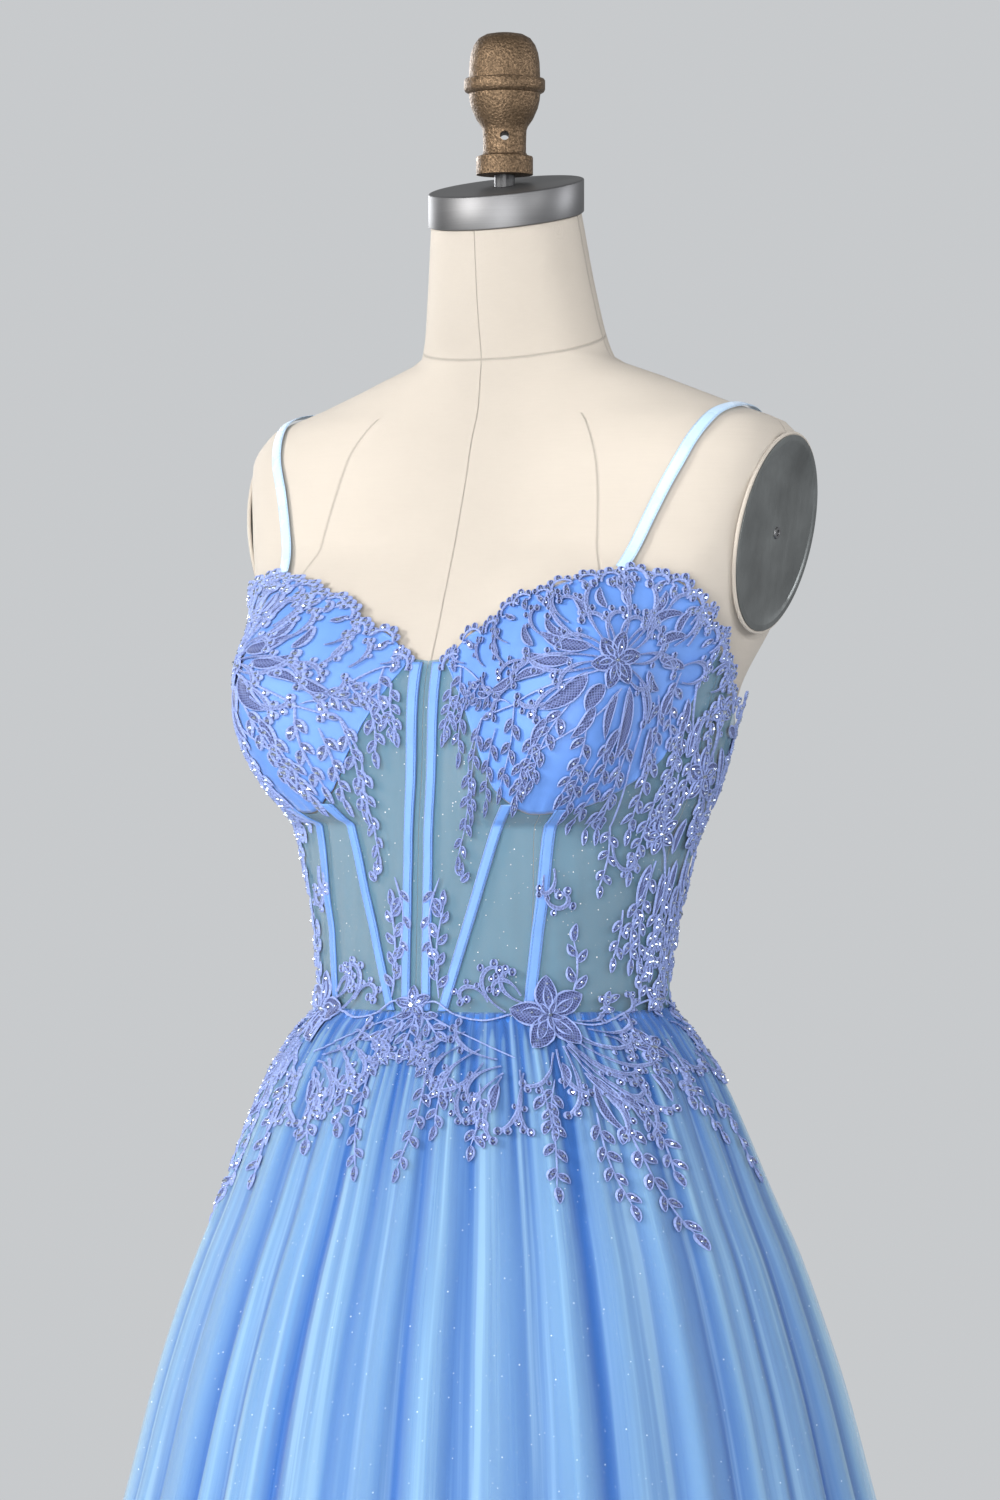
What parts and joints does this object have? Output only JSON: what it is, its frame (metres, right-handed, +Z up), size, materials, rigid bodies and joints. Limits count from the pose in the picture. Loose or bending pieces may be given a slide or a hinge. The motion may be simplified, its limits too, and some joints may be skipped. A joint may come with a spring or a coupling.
{
  "type": "prom dress on a dress form",
  "caption": "Floor-length prom dress with a boned sheer bodice, lace and a gathered tulle skirt, standing on a limbless dress form with a base.",
  "frame": {"origin": "on the floor, under the middle of the hem", "axes": "+Z up, -Y towards the front of the dress, +X towards the wearer's left"},
  "size_m": [0.919, 0.895, 1.702],
  "materials": {
    "form_cover": "matte cream linen",
    "steel": "brushed",
    "bronze": "antique, dull",
    "plate": "satin dark grey",
    "stand": "satin black",
    "tulle": "sheer glitter tulle",
    "lining": "soft satin lining",
    "cup": "moulded cup under net",
    "net": "sheer glitter net",
    "casing": "satin tape",
    "strap": "satin ribbon",
    "lace": "corded embroidered lace"
  },
  "bodies": {
    "root": {"form_torso": "form_cover", "neck_cap": "steel", "finial_spindle": "stand", "finial": "bronze", "arm_plate_left": "plate", "arm_plate_right": "plate", "stand_pole": "stand", "stand_socket": "stand", "stand_base": "stand", "cup_left": "cup", "cup_right": "cup", "front_panel_left": "net", "front_panel_right": "net", "side_panel_left": "net", "side_panel_right": "net", "back_panel_left": "net", "back_panel_right": "net", "placket_casing_left": "casing", "placket_casing_right": "casing", "diagonal_casing_left": "casing", "diagonal_casing_right": "casing", "side_casing_left": "casing", "side_casing_right": "casing", "strap_left": "strap", "strap_right": "strap", "tulle_front": "tulle", "tulle_back": "tulle", "lining_front": "lining", "lining_back": "lining", "cup_flower_left": "lace", "cup_flower_right": "lace", "side_flower_left": "lace", "side_flower_right": "lace", "waist_flower_left": "lace", "waist_flower_right": "lace", "waist_scroll_left": "lace", "waist_scroll_right": "lace", "waist_side_flower_left": "lace", "waist_side_flower_right": "lace", "waist_centre_flower": "lace", "hanging_spray_left": "lace", "hanging_spray_right": "lace", "side_spray_left": "lace", "side_spray_right": "lace", "back_spray_left": "lace", "back_spray_right": "lace", "skirt_spray_1_left": "lace", "skirt_spray_1_right": "lace", "skirt_spray_2_left": "lace", "skirt_spray_2_right": "lace", "skirt_spray_3_left": "lace", "skirt_spray_3_right": "lace", "skirt_spray_4_left": "lace", "skirt_spray_4_right": "lace", "skirt_spray_5_left": "lace", "skirt_spray_5_right": "lace"}
  },
  "joints": []
}
